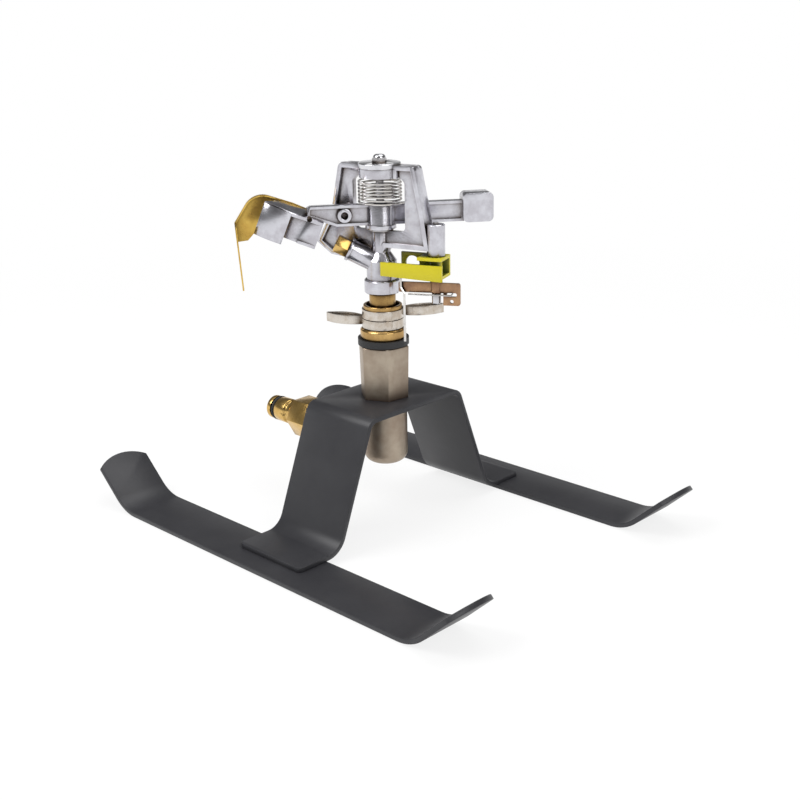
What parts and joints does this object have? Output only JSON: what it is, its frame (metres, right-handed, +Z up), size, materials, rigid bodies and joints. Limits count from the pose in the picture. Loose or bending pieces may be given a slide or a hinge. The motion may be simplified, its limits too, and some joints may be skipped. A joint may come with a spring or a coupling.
{
  "type": "sled base sprinkler",
  "caption": "Part circle impact sprinkler on a welded steel sled base, with a hose inlet under the bridge, a sprung arm, a tilting deflector and friction collars that set the arc.",
  "frame": {"origin": "on the ground under the head's turning axis, midway between the two runners", "axes": "+Z up, X along the runners with the hose inlet facing -X, Y across from runner to runner"},
  "size_m": [0.3104, 0.223, 0.2246],
  "materials": {
    "painted_steel": "smooth semi-gloss dark slate paint",
    "nickel_bronze": "cast, dull nickel-plated bronze",
    "brass": "machined, bright",
    "brass_sheet": "rolled sheet, bright",
    "copper_brass": "stamped, warm bronze tone",
    "black_rubber": "matt",
    "nylon": "natural white",
    "cast_zinc": "die-cast, satin chrome plated",
    "plated_steel": "bright zinc plated",
    "spring_steel": "drawn stainless wire",
    "yellow_plastic": "moulded, yellow-lime",
    "bearing_bush": "low-friction sleeve"
  },
  "bodies": {
    "base": {"runner_near": "painted_steel", "runner_far": "painted_steel", "bridge": "painted_steel", "leg_welds": "painted_steel", "inlet_body": "nickel_bronze", "inlet_hexagon": "nickel_bronze", "hose_connector": "brass", "connector_gasket": "black_rubber", "connector_o_ring": "black_rubber", "nipple_seal": "black_rubber", "bearing_nipple": "brass"},
    "collar_lower": {"collar_lower": "plated_steel"},
    "collar_upper": {"collar_upper": "plated_steel"},
    "head": {"bearing_washer_rubber": "black_rubber", "bearing_washer_nylon": "nylon", "stem_tube": "brass", "bearing_spring": "spring_steel", "neck_sleeve": "brass", "sprinkler_body": "cast_zinc", "nozzle": "brass", "fulcrum_pin": "plated_steel", "arm_washer": "plated_steel", "arm_spring": "spring_steel", "cap_plate": "plated_steel", "cap_nut": "plated_steel", "trip_pin": "plated_steel"},
    "arm": {"impact_arm": "cast_zinc", "arm_bush": "bearing_bush", "arm_bumper": "cast_zinc", "deflector_pivot": "plated_steel"},
    "deflector": {"deflector": "brass_sheet"},
    "trip_lever": {"trip_lever": "yellow_plastic", "trip_wire": "spring_steel"},
    "pawl": {"reversing_pawl": "copper_brass", "trip_spring": "spring_steel"}
  },
  "joints": [
    {"name": "head_turn", "type": "hinge", "parent": "base", "child": "head", "pos_m": [0, 0, 0.13], "axis": [0, 0, 1], "range_deg": [-120, 30]},
    {"name": "collar_lower_turn", "type": "hinge", "parent": "base", "child": "collar_lower", "pos_m": [0, 0, 0.1254], "axis": [0, 0, 1], "range_deg": [-110, 8]},
    {"name": "collar_upper_turn", "type": "hinge", "parent": "base", "child": "collar_upper", "pos_m": [0, 0, 0.1312], "axis": [0, 0, 1], "range_deg": [-15, 110]},
    {"name": "arm_swing", "type": "hinge", "parent": "head", "child": "arm", "pos_m": [0, 0, 0.19], "axis": [0, 0, 1], "range_deg": [0, 100], "stiffness_Nm_per_rad": 0.02, "springref_deg": -34.38, "deforming": ["arm_spring"]},
    {"name": "deflector_tilt", "type": "hinge", "parent": "arm", "child": "deflector", "pos_m": [-0.02563, -0.03328, 0.1895], "axis": [-0.7923, 0.6101, 0], "range_deg": [-20, 25]},
    {"name": "trip_lever_swing", "type": "hinge", "parent": "head", "child": "trip_lever", "pos_m": [0.03526, 0.00905, 0.15], "axis": [0, 0, 1], "range_deg": [0, 14]},
    {"name": "pawl_swing", "type": "hinge", "parent": "head", "child": "pawl", "pos_m": [0.03526, 0.00905, 0.15], "axis": [0, 0, 1], "range_deg": [0, 8.4]}
  ],
  "couplings": [
    {"joint": "pawl_swing", "follows": "trip_lever_swing", "ratio": 0.6}
  ]
}
